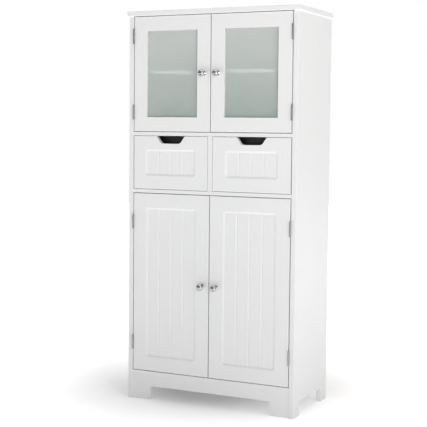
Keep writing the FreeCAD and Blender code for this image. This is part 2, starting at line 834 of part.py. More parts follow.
def make_pin_master():
    """A hinge pin about its middle."""
    body = master_body("pin_master")
    half = f"({HINGE_LENGTH} / 2)"
    revolve(body, [("0", f"-{half}"), ("pin_radius", f"-{half}"), ("pin_radius", half), ("0", half)])
    return body


def countersink(body, level, mouth, y):
    """A cone about an axis along X, sunk into a leaf from its mouth face for a screw head."""
    before = body.Shape.Volume
    sketch = sketch_on(body, "XY_Plane", level)
    root = f"({mouth} - screw_head)"
    outline(sketch, [
        (mouth, y),
        (mouth, f"({y} + screw_head_radius + bore_play)"),
        (root, f"({y} + screw_radius + bore_play)"),
        (root, y),
    ])
    start = Vector(value(mouth), value(y), 0)
    end = Vector(value(root), value(y), 0)
    axis = sketch.addGeometry(Part.LineSegment(start, end), True)
    pin_point(sketch, axis, 1, mouth, y)
    pin_point(sketch, axis, 2, root, y)
    groove = body.newObject("PartDesign::Groove", f"{body.Name}_countersink")
    groove.Profile = sketch
    groove.ReferenceAxis = (sketch, ["Axis0"])
    groove.Angle = FULL_TURN
    body.Tip = groove
    check_cut(body, before)


def make_leaf_master(label, outer_knuckles):
    """A hinge leaf about the pin's middle; its plate runs back along +Y on the -X side of the pin."""
    body = master_body(label)
    half = f"({HINGE_LENGTH} / 2)"
    outside, inside = "(-leaf_gap - leaf)", "-leaf_gap"
    sketch = sketch_on(body, "XY_Plane", f"-{half}")
    rectangle(sketch, outside, "pin_standoff", inside, "(pin_standoff + leaf_width)")
    add_pad(body, sketch, HINGE_LENGTH, 1)
    if outer_knuckles:
        starts = [f"-{half}", "(knuckle_length / 2 + knuckle_play / 2)"]
        length = "(knuckle_length - knuckle_play / 2)"
    else:
        starts = ["(-knuckle_length / 2 + knuckle_play / 2)"]
        length = "(knuckle_length - knuckle_play)"
    for start in starts:
        sketch = sketch_on(body, "XY_Plane", start)
        rectangle(sketch, outside, "knuckle_start", inside, "(pin_standoff + 1)")
        add_pad(body, sketch, length, 1)
        sketch = sketch_on(body, "XY_Plane", start)
        circle(sketch, "0", "0", "knuckle_radius")
        add_pad(body, sketch, length, 1)
    bores(body, "XY_Plane", f"-{half}", [("0", "0")], "(pin_radius + pin_play)", HINGE_LENGTH, 1)
    depth = "(leaf_screw_inset + pin_standoff)"
    holes = [(depth, "-leaf_screw_span"), (depth, "leaf_screw_span")]
    bores(body, "YZ_Plane", inside, holes, "(screw_radius + bore_play)", "leaf", -1)
    for level in ("-leaf_screw_span", "leaf_screw_span"):
        countersink(body, level, inside, depth)
    return body


def carcass_dowels(master):
    """Dowels of the apron, stretcher, wall rail and drawer partition."""
    middle = "((dowel_end_bore - dowel_bore) / 2)"
    places = []
    for sign in ("-", ""):
        x = f"({sign}({INNER} - {middle}))"
        places.extend((x, f"({FRONT} + apron_setback + board / 2)", z, RIGHTWARDS) for z in APRON_DOWELS)
        places.extend((x, f"({BACK} - board / 2)", z, RIGHTWARDS) for z in STRETCHER_DOWELS)
        places.extend((x, f"({RAIL_Y} + board / 2)", z, RIGHTWARDS) for z in RAIL_DOWELS)
    for y in PARTITION_DOWELS:
        y = f"({FRONT} + {y})"
        places.append(("0", y, f"({LOWER_SHELF_Z} + thin_board + {middle})", UP))
        places.append(("0", y, f"({UPPER_SHELF_Z} - {middle})", UP))
    fasteners("dowels", master, places)


def cams_and_bolts(cam, bolt):
    """Knock-down fittings: a bolt in one board, turned tight by a cam in the other."""
    bolts = []
    cams = []
    number = 0
    for side in (-1, 1):
        sign = "-" if side < 0 else ""
        outwards = (side, 0, 0)
        face = f"({sign}{INNER})"
        for y in FIXING_Y:
            for z in HORIZONTALS:
                number += 1
                bolts.append((face, y, f"({z} + cam_axis)", outwards))
                turn = Rotation(Vector(*outwards), Vector(0, -side, 0), Vector(*DOWN), "ZXY")
                x = f"({sign}({INNER} - cam_reach))"
                cams.append(copy_of(cam, f"cam_{number}", turn, x, y, z))
            number += 1
            bolts.append((f"({sign}({INNER} + cam_axis))", y, CARCASS_TOP, UP))
            turn = Rotation(Vector(*UP), Vector(), Vector(-side, 0, 0), "ZXY")
            cams.append(copy_of(cam, f"cam_{number}", turn, face, y, f"({CARCASS_TOP} - cam_reach)"))
    fasteners("cam_bolts", bolt, bolts)
    group("cam_locks", cams)


def shelf_pins(master):
    """Four pins under each loose shelf."""
    places = []
    for pin_height in (UPPER_SHELF_PIN_Z, LOWER_SHELF_PIN_Z):
        for y in ("shelf_pin_front", "shelf_pin_back"):
            places.append((f"-{INNER}", f"({FRONT} + {y})", pin_height, LEFTWARDS))
            places.append((INNER, f"({FRONT} + {y})", pin_height, RIGHTWARDS))
    fasteners("shelf_pins", master, places)


def hinge_turn(side):
    """The master leaf lies on its -X side; half a turn about Y gives the other side."""
    return Rotation() if side < 0 else Rotation(Vector(*BACKWARDS), FULL_TURN / 2)


def frame_side_hinges(leaf, pin, screw):
    """The half of every hinge that stays on the cabinet, with the pins and screws."""
    leaves = []
    pins = []
    screws = []
    for side in (-1, 1):
        sign = "-" if side < 0 else ""
        x = f"({sign}{PIN_X})"
        for upper in (True, False):
            for z in hinge_heights(upper):
                number = len(leaves) + 1
                leaves.append(copy_of(leaf, f"frame_leaf_{number}", hinge_turn(side), x, PIN_Y, z))
                pins.append((x, PIN_Y, z, UP))
            face = f"({sign}({PIN_X} + leaf_gap))"
            for z in all_leaf_screw_heights(upper):
                screws.append((face, f"({FRONT} + leaf_screw_inset)", z, (-side, 0, 0)))
    group("hinge_frame_leaves", leaves)
    fasteners("hinge_pins", pin, pins)
    runner_face = "(drawer_play + drawer_groove - runner_play - screw_head)"
    partition_face = f"(board / 2 + {runner_face})"
    for y in runner_screw_depths():
        y = f"({FRONT} + {y})"
        shifted = f"({y} + runner_stagger)"
        z = runner_height()
        screws.append((f"(-{INNER} + {runner_face})", y, z, RIGHTWARDS))
        screws.append((f"({INNER} - {runner_face})", y, z, LEFTWARDS))
        screws.append((f"-{partition_face}", y, z, LEFTWARDS))
        screws.append((partition_face, shifted, z, RIGHTWARDS))
    fasteners("cabinet_screws", screw, screws)


# ---------------------------------------------------------------- fronts


def front_board(label, width, height):
    """A door or drawer front: a board standing on edge, its front at y = 0."""
    body = new_body(label)
    sketch = sketch_on(body, "XZ_Plane")
    rectangle(sketch, "0", "0", width, height)
    add_pad(body, sketch, "board", 1)
    return body


def planked_field(body, width, height, margin):
    """Sink a bevelled field with round corners into a front, and rule it into planks."""
    before = body.Shape.Volume
    profiles = []
    for level, inset, corner in (
        ("0", margin, "recess_corner"),
        ("recess_depth", f"({margin} + bevel_run)", "floor_corner"),
    ):
        sketch = sketch_on(body, "XZ_Plane", level)
        rounded_rectangle(sketch, inset, inset, f"({width} - {inset})", f"({height} - {inset})", corner)
        profiles.append(sketch)
    loft = body.newObject("PartDesign::SubtractiveLoft", f"{body.Name}_field")
    loft.Profile = profiles[0]
    loft.Sections = [profiles[1]]
    loft.Ruled = True
    body.Tip = loft
    check_cut(body, before)
    end = f"({margin} + bevel_run - vee_relief)"
    sketch = sketch_on(body, "XY_Plane", end)
    plank = f"(({width} - 2 * {margin} - bevel_run) / 4)"
    flare = "(vee_half_width * (1 + vee_relief / vee_depth))"
    for step in (-1, 0, 1):
        centre = f"({width} / 2 + {step} * {plank})"
        rim = "(recess_depth - vee_relief)"
        outline(sketch, [
            (f"({centre} - {flare})", rim),
            (f"({centre} + {flare})", rim),
            (centre, "(recess_depth + vee_depth)"),
        ])
    add_pocket(body, sketch, f"({height} - 2 * {end})", 1)


def door_bores(body, side, upper, height):
    """Bores in a door for its knob, its hinge screws and its strike plate."""
    low = UPPER_DOOR_Z if upper else LOWER_DOOR_Z
    knob_x = f"({DOOR_WIDTH} - knob_inset)" if side < 0 else "knob_inset"
    knob = [(knob_x, f"({height} / 2)")]
    bores(body, "XZ_Plane", "0", knob, "knob_bore_radius", "board", 1)
    edge = "0" if side < 0 else DOOR_WIDTH
    screws = [("leaf_screw_inset", f"({z} - {low})") for z in all_leaf_screw_heights(upper)]
    bores(body, "YZ_Plane", edge, screws, "(screw_radius + bore_play)", "screw_length", -side)
    reach = "(strike_inset + strike_width / 2)"
    strike_x = f"({DOOR_WIDTH} - {reach})" if side < 0 else reach
    strike = [(strike_x, f"({height} - strike_height / 2)")]
    bores(body, "XZ_Plane", "board", strike, "(screw_radius + bore_play)", "screw_length", -1)


def door_left_edge(side):
    """Where a door starts along X."""
    return f"(hinge_reveal - {INNER})" if side < 0 else "(centre_gap / 2)"


def make_knob(label, x, z):
    """A turned knob: flange, neck and domed head, its axis pointing forwards."""
    body = new_body(label)
    sketch = sketch_on(body, "XZ_Plane")
    corners = [
        ("0", "0"),
        ("knob_base_radius", "0"),
        ("knob_base_radius", "(knob_base / 2)"),
        ("knob_neck_radius", "(knob_base + knob_flange_slope)"),
        ("knob_neck_radius", "knob_neck_end"),
        ("(knob_radius - 1)", "(knob_rim - 3)"),
        ("knob_radius", "(knob_rim - 1)"),
        ("knob_radius", "knob_rim"),
        ("0", "knob_projection"),
    ]
    rise = "(knob_projection - knob_rim)"
    dome_radius = f"((knob_radius * knob_radius + {rise} * {rise}) / (2 * {rise}))"
    points = [Vector(value(a), value(b), 0) for a, b in corners]
    run = []
    for start, end in zip(points[:7], points[1:8]):
        run.append(sketch.addGeometry(Part.LineSegment(start, end)))
    centre = Vector(0, value("knob_projection") - value(dome_radius), 0)
    halfway = (points[7] + points[8] - centre * 2).normalize() * value(dome_radius)
    run.append(arc_through(sketch, points[7], centre + halfway, points[8], dome_radius))
    run.append(sketch.addGeometry(Part.LineSegment(points[8], points[0])))
    join_ends(sketch, run)
    for line, (a, b) in zip(run[:7], corners):
        pin_point(sketch, line, 1, a, b)
    pin_point(sketch, run[6], 2, *corners[7])
    pin_point(sketch, run[8], 1, *corners[8])
    turned = body.newObject("PartDesign::Revolution", f"{label}_turned")
    turned.Profile = sketch
    turned.ReferenceAxis = (sketch, ["V_Axis"])
    turned.Angle = FULL_TURN
    body.Tip = turned
    doc.recompute()
    bores(body, "XY_Plane", "0", [("0", "0")], "knob_bore_radius", "knob_bore", 1)
    body.Placement = Placement(Vector(), aimed(FORWARDS))
    place(body, x, FRONT, z)


def make_knob_screw_master():
    """A machine screw from inside the door: pan head down at z = 0, shank up into the knob."""
    body = master_body("knob_screw_master")
    radius = "(knob_bore_radius - bore_play)"
    revolve(body, [
        ("0", "-knob_screw_head"),
        ("knob_screw_crown", "-knob_screw_head"),
        ("knob_screw_rim", "-knob_screw_shoulder"),
        ("4", "0"),
        (radius, "0"),
        (radius, "(board + knob_bore - 2)"),
        ("0", "(board + knob_bore - 1)"),
    ])
    return body


def glazing(prefix, side):
    """The pane and the four beads that hold it in its rebate."""
    left = door_left_edge(side)
    inset = "(door_frame - rebate + glass_play)"
    size = (f"({DOOR_WIDTH} - 2 * {inset})", "glass", f"({UPPER_DOOR_HEIGHT} - 2 * {inset})")
    corner = (f"({left} + {inset})", f"({FRONT} + glass_setback)", f"({UPPER_DOOR_Z} + {inset})")
    board(f"{prefix}_glass_pane", size, corner)
    edge = "(door_frame - rebate)"
    y = f"({FRONT} + glass_setback + glass)"
    thick = "(board - glass_setback - glass)"
    long_x = f"({DOOR_WIDTH} - 2 * {edge})"
    tall_z = f"({UPPER_DOOR_HEIGHT} - 2 * {edge} - 2 * bead_width)"
    x, z = f"({left} + {edge})", f"({UPPER_DOOR_Z} + {edge})"
    far_x = f"({left} + {DOOR_WIDTH} - {edge} - bead_width)"
    far_z = f"({UPPER_DOOR_Z} + {UPPER_DOOR_HEIGHT} - {edge} - bead_width)"
    group(f"{prefix}_glazing_beads", [
        box(f"{prefix}_bead_bottom", (long_x, thick, "bead_width"), (x, y, z)),
        box(f"{prefix}_bead_top", (long_x, thick, "bead_width"), (x, y, far_z)),
        box(f"{prefix}_bead_left", ("bead_width", thick, tall_z), (x, y, f"({z} + bead_width)")),
        box(f"{prefix}_bead_right", ("bead_width", thick, tall_z), (far_x, y, f"({z} + bead_width)")),
    ])


def door(prefix, side, upper, masters):
    """One door with everything that swings with it."""
    low = UPPER_DOOR_Z if upper else LOWER_DOOR_Z
    height = UPPER_DOOR_HEIGHT if upper else "lower_door_height"
    left = door_left_edge(side)
    body = front_board(f"{prefix}_door_{'frame' if upper else 'panel'}", DOOR_WIDTH, height)
    if upper:
        sketch = sketch_on(body, "XZ_Plane")
        far, top = f"({DOOR_WIDTH} - door_frame)", f"({height} - door_frame)"
        rectangle(sketch, "door_frame", "door_frame", far, top)
        add_pocket(body, sketch, "board", 1)
    ease_edges(body, "ease", lambda b: b.YMax < TOUCH)
    if upper:
        inset = "(door_frame - rebate)"
        sketch = sketch_on(body, "XZ_Plane", "board")
        rectangle(sketch, inset, inset, f"({DOOR_WIDTH} - {inset})", f"({height} - {inset})")
        add_pocket(body, sketch, "(board - glass_setback)", -1)
        glazing(prefix, side)
    else:
        planked_field(body, DOOR_WIDTH, height, "door_frame")
    door_bores(body, side, upper, height)
    place(body, left, FRONT, low)

    sign = "-" if side < 0 else ""
    knob_x = f"({sign}(centre_gap / 2 + knob_inset))"
    knob_z = f"({low} + {height} / 2)"
    make_knob(f"{prefix}_knob", knob_x, knob_z)
    leaves = []
    for number, z in enumerate(hinge_heights(upper), start=1):
        x = f"({sign}{PIN_X})"
        link = copy_of(masters["door_leaf"], f"{prefix}_leaf_{number}", hinge_turn(-side), x, PIN_Y, z)
        leaves.append(link)
    group(f"{prefix}_hinge_door_leaves", leaves)

    strike_x = f"({sign}(centre_gap / 2 + strike_inset + strike_width / 2))"
    strike_z = f"({low} + {height} - strike_height / 2)"
    strike_plate(f"{prefix}_strike_plate", strike_x, strike_z)
    screws = []
    face = f"({sign}({PIN_X} - leaf_gap))"
    for number, z in enumerate(all_leaf_screw_heights(upper), start=1):
        turn = aimed((side, 0, 0))
        name = f"{prefix}_hinge_screw_{number}"
        screws.append(copy_of(masters["screw"], name, turn, face, f"({FRONT} + leaf_screw_inset)", z))
    plate_face = f"({FRONT} + board + strike)"
    name = f"{prefix}_strike_screw"
    screws.append(copy_of(masters["screw"], name, aimed(BACKWARDS), strike_x, plate_face, strike_z))
    name = f"{prefix}_knob_screw"
    behind = f"({FRONT} + board)"
    screws.append(copy_of(masters["knob_screw"], name, aimed(FORWARDS), knob_x, behind, knob_z))
    group(f"{prefix}_door_screws", screws)


def strike_plate(label, x, z):
    """A steel plate on the back of a door, countersunk for one screw."""
    body = new_body(label)
    sketch = sketch_on(body, "XZ_Plane")
    half_width, half_height = "(strike_width / 2)", "(strike_height / 2)"
    rectangle(sketch, f"-{half_width}", f"-{half_height}", half_width, half_height)
    add_pad(body, sketch, "strike", 1)
    ease_edges(body, "ease", lambda b: b.YLength > TOUCH)
    bores(body, "XZ_Plane", "0", [("0", "0")], "(screw_radius + bore_play)", "strike", 1)
    bores(body, "XZ_Plane", "strike", [("0", "0")], "(screw_head_radius + bore_play)", "screw_head", -1)
    place(body, x, f"({FRONT} + board)", z)


# ---------------------------------------------------------------- drawers


def drawer_front(prefix, left):
    """A drawer front with a finger notch in its top edge and a planked field."""
    body = new_body(f"{prefix}_front")
    middle = f"({DRAWER_WIDTH} / 2)"
    top = "drawer_front_height"
    floor = f"({top} - notch_depth)"
    sketch = sketch_on(body, "XZ_Plane")
    outline(sketch, [
        ("0", "0"),
        (DRAWER_WIDTH, "0"),
        (DRAWER_WIDTH, top),
        (f"({middle} + notch_half_width)", top),
        (f"({middle} + notch_floor_half_width)", floor),
        (f"({middle} - notch_floor_half_width)", floor),
        (f"({middle} - notch_half_width)", top),
        ("0", top),
    ])
    add_pad(body, sketch, "board", 1)
    low, high = value(f"({floor} - 1)"), value(f"({floor} + 1)")
    ease_edges(body, "notch_corner", lambda b: low < b.ZMin and b.ZMax < high and b.YLength > 1)
    ease_edges(body, "ease", lambda b: b.YMax < TOUCH)
    planked_field(body, DRAWER_WIDTH, top, "drawer_frame")
    inset = f"({left} - ({left_of_box(prefix)}))"
    holes = []
    for x in ("(thin_board / 2)", f"({BOX_WIDTH} - thin_board / 2)"):
        for z in ("drawer_dowel_rise", "(drawer_side_height - drawer_dowel_rise / 2)"):
            holes.append((f"({x} - {inset})", f"({z} + drawer_side_rise)"))
    bores(body, "XZ_Plane", "board", holes, "(dowel_radius + bore_play)", "dowel_bore", -1)
    place(body, left, FRONT, DRAWER_Z)


def left_of_box(prefix):
    """Where a drawer's box starts along X."""
    return f"(drawer_play - {INNER})" if prefix.startswith("left") else "(board / 2 + drawer_play)"


def drawer_side(label, x, outer_face, groove_into, inner_face, inner_into):
    """A drawer side, grooved outside for its runner and inside for the drawer bottom."""
    length = "(drawer_length - board)"
    corner = (x, f"({FRONT} + board)", BOX_Z)
    body = board(label, ("thin_board", length, "drawer_side_height"), corner)
    ease_edges(body, "ease", lambda b: b.YLength > 1 and b.ZMin > value("drawer_side_height") - TOUCH)
    sketch = sketch_on(body, "YZ_Plane", outer_face)
    half = "(drawer_groove_width / 2)"
    groove_start = "(runner_front - board - 1)"
    low, high = f"(drawer_groove_rise - {half})", f"(drawer_groove_rise + {half})"
    rectangle(sketch, groove_start, low, length, high)
    add_pocket(body, sketch, "drawer_groove", groove_into)
    sketch = sketch_on(body, "YZ_Plane", inner_face)
    low = "(drawer_bottom_rise - groove_play / 2)"
    high = "(drawer_bottom_rise + drawer_bottom + groove_play / 2)"
    rectangle(sketch, "0", low, length, high)
    add_pocket(body, sketch, "drawer_bottom_groove", inner_into)
    heights = ("drawer_dowel_rise", "(drawer_side_height - drawer_dowel_rise / 2)")
    ends = [("(thin_board / 2)", z) for z in heights]
    bores(body, "XZ_Plane", "0", ends, "(dowel_radius + bore_play)", "dowel_end_bore", 1)
    back = [(f"({length} - thin_board / 2)", z) for z in heights]
    bores(body, "YZ_Plane", inner_face, back, "(dowel_radius + bore_play)", "dowel_bore", inner_into)


def drawer_back(prefix, x):
    """The board across the back of the drawer box."""
    width = f"({BOX_WIDTH} - 2 * thin_board)"
    corner = (f"({x} + thin_board)", f"({FRONT} + drawer_length - thin_board)", BOX_Z)
    body = board(f"{prefix}_back", (width, "thin_board", "drawer_side_height"), corner)
    ease_edges(body, "ease", lambda b: b.XLength > 1 and b.ZMin > value("drawer_side_height") - TOUCH)
    sketch = sketch_on(body, "XZ_Plane")
    low = "(drawer_bottom_rise - groove_play / 2)"
    high = "(drawer_bottom_rise + drawer_bottom + groove_play / 2)"
    rectangle(sketch, "0", low, width, high)
    add_pocket(body, sketch, "drawer_bottom_groove", 1)
    heights = ("drawer_dowel_rise", "(drawer_side_height - drawer_dowel_rise / 2)")
    ends = [("(thin_board / 2)", z) for z in heights]
    for level, into in (("0", 1), (width, -1)):
        bores(body, "YZ_Plane", level, ends, "(dowel_radius + bore_play)", "dowel_end_bore", into)


def drawer_bottom(prefix, x):
    """The thin sheet that slides in the grooves of the sides and the back."""
    lap = "(drawer_bottom_groove - groove_play)"
    width = f"({BOX_WIDTH} - 2 * thin_board + 2 * {lap})"
    length = f"(drawer_length - board - thin_board + {lap})"
    corner = (f"({x} + thin_board - {lap})", f"({FRONT} + board)", f"({BOX_Z} + drawer_bottom_rise)")
    board(f"{prefix}_bottom", (width, length, "drawer_bottom"), corner)


def pull_liner(prefix, middle):
    """The moulded cup behind the finger notch, open towards the notch and upwards."""
    body = new_body(f"{prefix}_pull_liner")
    sketch = sketch_on(body, "XY_Plane")
    rectangle(sketch, "-liner_half_width", "0", "liner_half_width", "liner_depth")
    add_pad(body, sketch, "liner_height", 1)
    low = value("liner_depth") - TOUCH
    ease_edges(body, "liner_corner", lambda b: b.ZLength > 1 and b.YMin > low)
    sketch = sketch_on(body, "XY_Plane", "liner_wall")
    reach = "(liner_half_width - liner_wall)"
    rectangle(sketch, f"-{reach}", "0", reach, "(liner_depth - liner_wall)")
    add_pocket(body, sketch, "(liner_height - liner_wall)", 1)
    z = f"({DRAWER_Z} + drawer_front_height - reveal - liner_height)"
    place(body, middle, f"({FRONT} + board)", z)


def drawer(prefix, masters):
    """One drawer with everything that slides with it."""
    on_left = prefix.startswith("left")
    left = f"(hinge_reveal - {INNER})" if on_left else "(board / 2 + drawer_reveal)"
    x = left_of_box(prefix)
    drawer_front(prefix, left)
    far = f"({x} + {BOX_WIDTH} - thin_board)"
    drawer_side(f"{prefix}_left_side", x, "0", 1, "thin_board", -1)
    drawer_side(f"{prefix}_right_side", far, "thin_board", -1, "0", 1)
    drawer_back(prefix, x)
    drawer_bottom(prefix, x)
    pull_liner(prefix, f"({left} + {DRAWER_WIDTH} / 2)")
    dowels = []
    heights = ("drawer_dowel_rise", "(drawer_side_height - drawer_dowel_rise / 2)")
    middle = "((dowel_end_bore - dowel_bore) / 2)"
    front_y = f"({FRONT} + board + {middle})"
    back_y = f"({FRONT} + drawer_length - thin_board / 2)"
    inner_left, inner_right = f"({x} + thin_board + {middle})", f"({far} - {middle})"
    for z in heights:
        z = f"({BOX_Z} + {z})"
        dowels.append((f"({x} + thin_board / 2)", front_y, z, BACKWARDS))
        dowels.append((f"({far} + thin_board / 2)", front_y, z, BACKWARDS))
        dowels.append((inner_left, back_y, z, RIGHTWARDS))
        dowels.append((inner_right, back_y, z, RIGHTWARDS))
    fasteners(f"{prefix}_dowels", masters["dowel"], dowels)


# ---------------------------------------------------------------- assembly and export


def build():
    """Make every piece of the cabinet."""
    fill_sheet()
    top_board()
    side_panel("left_side_panel", -1)
    side_panel("right_side_panel", 1)
    fixed_boards()
    drawer_partition()
    front_apron()
    rear_stretcher()
    wall_rail()
    back_panel()
    adjustable_shelves()
    drawer_runners()
    magnetic_catches()
    masters = {
        "screw": make_screw_master(),
        "dowel": make_dowel_master(),
        "knob_screw": make_knob_screw_master(),
        "door_leaf": make_leaf_master("door_leaf_master", False),
    }
    carcass_dowels(masters["dowel"])
    cams_and_bolts(make_cam_master(), make_bolt_master())
    shelf_pins(make_shelf_pin_master())
    frame_leaf = make_leaf_master("frame_leaf_master", True)
    frame_side_hinges(frame_leaf, make_pin_master(), masters["screw"])
    door("upper_left", -1, True, masters)
    door("upper_right", 1, True, masters)
    door("lower_left", -1, False, masters)
    door("lower_right", 1, False, masters)
    drawer("left_drawer", masters)
    drawer("right_drawer", masters)
    doc.recompute()


def check():
    """Stop if any object failed or any piece has no valid shape."""
    for item in doc.Objects:
        if "Invalid" in item.State or "Error" in item.State:
            raise RuntimeError(f"{item.Label} failed: {item.State}")
    for piece in pieces:
        if piece.Shape.isNull() or not piece.Shape.isValid() or not piece.Shape.Solids:
            raise RuntimeError(f"{piece.Label} has no valid solid")


def export():
    """Write one STEP file for each piece."""
    os.makedirs("parts", exist_ok=True)
    for piece in pieces:
        piece.Shape.exportStep(os.path.join("parts", f"{piece.Label}.step"))


build()
check()
export()
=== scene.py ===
import math

import bmesh
import bpy
from mathutils import Matrix, Vector

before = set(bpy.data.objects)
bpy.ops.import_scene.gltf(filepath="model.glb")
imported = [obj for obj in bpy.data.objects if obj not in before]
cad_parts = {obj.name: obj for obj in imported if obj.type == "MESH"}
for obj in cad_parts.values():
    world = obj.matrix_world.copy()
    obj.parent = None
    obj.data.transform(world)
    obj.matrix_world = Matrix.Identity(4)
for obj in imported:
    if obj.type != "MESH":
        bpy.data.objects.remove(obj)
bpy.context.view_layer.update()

scene = bpy.context.scene
scene.view_settings.view_transform = "Standard"
scene.view_settings.look = "None"

# Lengths are metres, colours are linear RGB and texture scales are per metre.

# ---------------------------------------------------------------- node helpers


def material(name):
    """A new node material: its tree, its Principled node and its object coordinates."""
    made = bpy.data.materials.new(name)
    made.use_nodes = True
    tree = made.node_tree
    shader = tree.nodes["Principled BSDF"]
    return made, tree, shader, tree.nodes.new("ShaderNodeTexCoord").outputs["Object"]


def scaled(tree, at, scale):
    """Coordinates stretched by a scale on each axis."""
    mapping = tree.nodes.new("ShaderNodeMapping")
    mapping.inputs["Scale"].default_value = scale
    tree.links.new(at, mapping.inputs["Vector"])
    return mapping.outputs["Vector"]


def axes(tree, vector):
    """The X, Y and Z of a vector."""
    split = tree.nodes.new("ShaderNodeSeparateXYZ")
    tree.links.new(vector, split.inputs[0])
    return split.outputs


def noise(tree, at, scale=1.0, detail=2.0, roughness=0.5, distortion=0.0):
    """A noise texture, which stays mostly between 0.3 and 0.7."""
    node = tree.nodes.new("ShaderNodeTexNoise")
    node.inputs["Scale"].default_value = scale
    node.inputs["Detail"].default_value = detail
    node.inputs["Roughness"].default_value = roughness
    node.inputs["Distortion"].default_value = distortion
    tree.links.new(at, node.inputs["Vector"])
    return node.outputs["Fac"]


def cells(tree, at, scale):
    """A Voronoi texture of round cells."""
    node = tree.nodes.new("ShaderNodeTexVoronoi")
    node.inputs["Scale"].default_value = scale
    tree.links.new(at, node.inputs["Vector"])
    return node.outputs


def spread(tree, value, low, high, start=0.3, end=0.7):
    """Maps a value from start..end to low..high, and no further."""
    node = tree.nodes.new("ShaderNodeMapRange")
    node.inputs["From Min"].default_value = start
    node.inputs["From Max"].default_value = end
    node.inputs["To Min"].default_value = low
    node.inputs["To Max"].default_value = high
    tree.links.new(value, node.inputs["Value"])
    return node.outputs["Result"]


def computed(tree, operation, first, second):
    """A sum or product of two values."""
    node = tree.nodes.new("ShaderNodeMath")
    node.operation = operation
    tree.links.new(first, node.inputs[0])
    tree.links.new(second, node.inputs[1])
    return node.outputs[0]


def blended(tree, factor, first, second):
    """A colour between two colours or colour outputs."""
    node = tree.nodes.new("ShaderNodeMix")
    node.data_type = "RGBA"
    tree.links.new(factor, node.inputs[0])
    for socket, colour in ((node.inputs[6], first), (node.inputs[7], second)):
        if isinstance(colour, tuple):
            socket.default_value = (*colour, 1.0)
        else:
            tree.links.new(colour, socket)
    return node.outputs[2]


def switched(tree, factor, first, second, surface):
    """Sends one of two shaders, chosen by the factor, to a surface input."""
    node = tree.nodes.new("ShaderNodeMixShader")
    for output, socket in zip((factor, first, second), node.inputs):
        tree.links.new(output, socket)
    tree.links.new(node.outputs["Shader"], surface)


def bumped(tree, height, distance, strength, under=None):
    """A normal raised by a height texture, over an earlier normal if one is given."""
    node = tree.nodes.new("ShaderNodeBump")
    node.inputs["Distance"].default_value = distance
    node.inputs["Strength"].default_value = strength
    tree.links.new(height, node.inputs["Height"])
    if under is not None:
        tree.links.new(under, node.inputs["Normal"])
    return node.outputs["Normal"]


# ---------------------------------------------------------------- materials

PAINT_COOL = (0.845, 0.850, 0.855)
PAINT_WARM = (0.865, 0.862, 0.855)
PAINT_THIN = (0.835, 0.835, 0.832)
PAINT_SHINE = 0.42
PAINT_ROUGHNESS = (0.36, 0.47)
PEEL_HEIGHT = 0.00018
FIBRE_HEIGHT = 0.00004

BOARD_DARK = (0.24, 0.145, 0.075)
BOARD_LIGHT = (0.40, 0.27, 0.155)
BOARD_FLECK = (0.52, 0.38, 0.24)
BOARD_STRANDS = (420, 420, 190)
BOARD_HEIGHT = 0.0004
BOARD_ROUGHNESS = 0.85
COAT_DARK = (0.80, 0.80, 0.79)
COAT_LIGHT = (0.83, 0.83, 0.82)
COAT_ROUGHNESS = 0.45

GLASS_SHADED_TINT = (0.68, 0.755, 0.715)
GLASS_LIT_TINT = (0.98, 0.99, 0.97)
GLASS_MEAN = (0.83, 0.87, 0.845)
GLASS_PASS = (0.92, 0.96, 0.94)
# heights above the floor between which the green tint lightens upwards: a painted shade that darkens the
# lower pane
GLASS_FOOT, GLASS_HEAD = 0.95, 1.20
GLASS_CLEARNESS = 0.63
GLASS_IOR = 1.30
GLASS_ROUGHNESS = (0.36, 0.44)
GLASS_HEIGHT = 0.00010

ZINC_DARK = (0.46, 0.47, 0.49)
ZINC_LIGHT = (0.62, 0.63, 0.65)
ZINC_ROUGHNESS = (0.32, 0.5)
ZINC_HEIGHT = 0.0001

BEECH_DARK = (0.56, 0.36, 0.20)
BEECH_LIGHT = (0.72, 0.52, 0.33)
BEECH_FLECK = (0.42, 0.25, 0.13)
BEECH_GRAIN = (260, 60, 260)
BEECH_PORES = (1500, 300, 1500)
BEECH_ROUGHNESS = (0.5, 0.7)
BEECH_HEIGHT = 0.0002


def white_paint():
    """Satin white lacquer sprayed over fibreboard: a fine orange peel, a slow drift in tone and sheen."""
    made, tree, shader, at = material("white_paint")
    drift = noise(tree, at, scale=2.2, detail=3.0)
    cloud = noise(tree, at, scale=38.0, detail=4.0, roughness=0.6)
    peel = noise(tree, at, scale=420.0, roughness=0.55)
    fibre = noise(tree, at, scale=1600.0, detail=1.0)
    tone = blended(tree, spread(tree, drift, 0.0, 1.0), PAINT_COOL, PAINT_WARM)
    tone = blended(tree, spread(tree, cloud, 0.0, 0.35), tone, PAINT_THIN)
    tree.links.new(tone, shader.inputs["Base Color"])
    tree.links.new(spread(tree, cloud, *PAINT_ROUGHNESS), shader.inputs["Roughness"])
    normal = bumped(tree, peel, PEEL_HEIGHT, strength=0.4)
    normal = bumped(tree, fibre, FIBRE_HEIGHT, strength=0.3, under=normal)
    tree.links.new(normal, shader.inputs["Normal"])
    shader.inputs["Specular IOR Level"].default_value = PAINT_SHINE
    return made


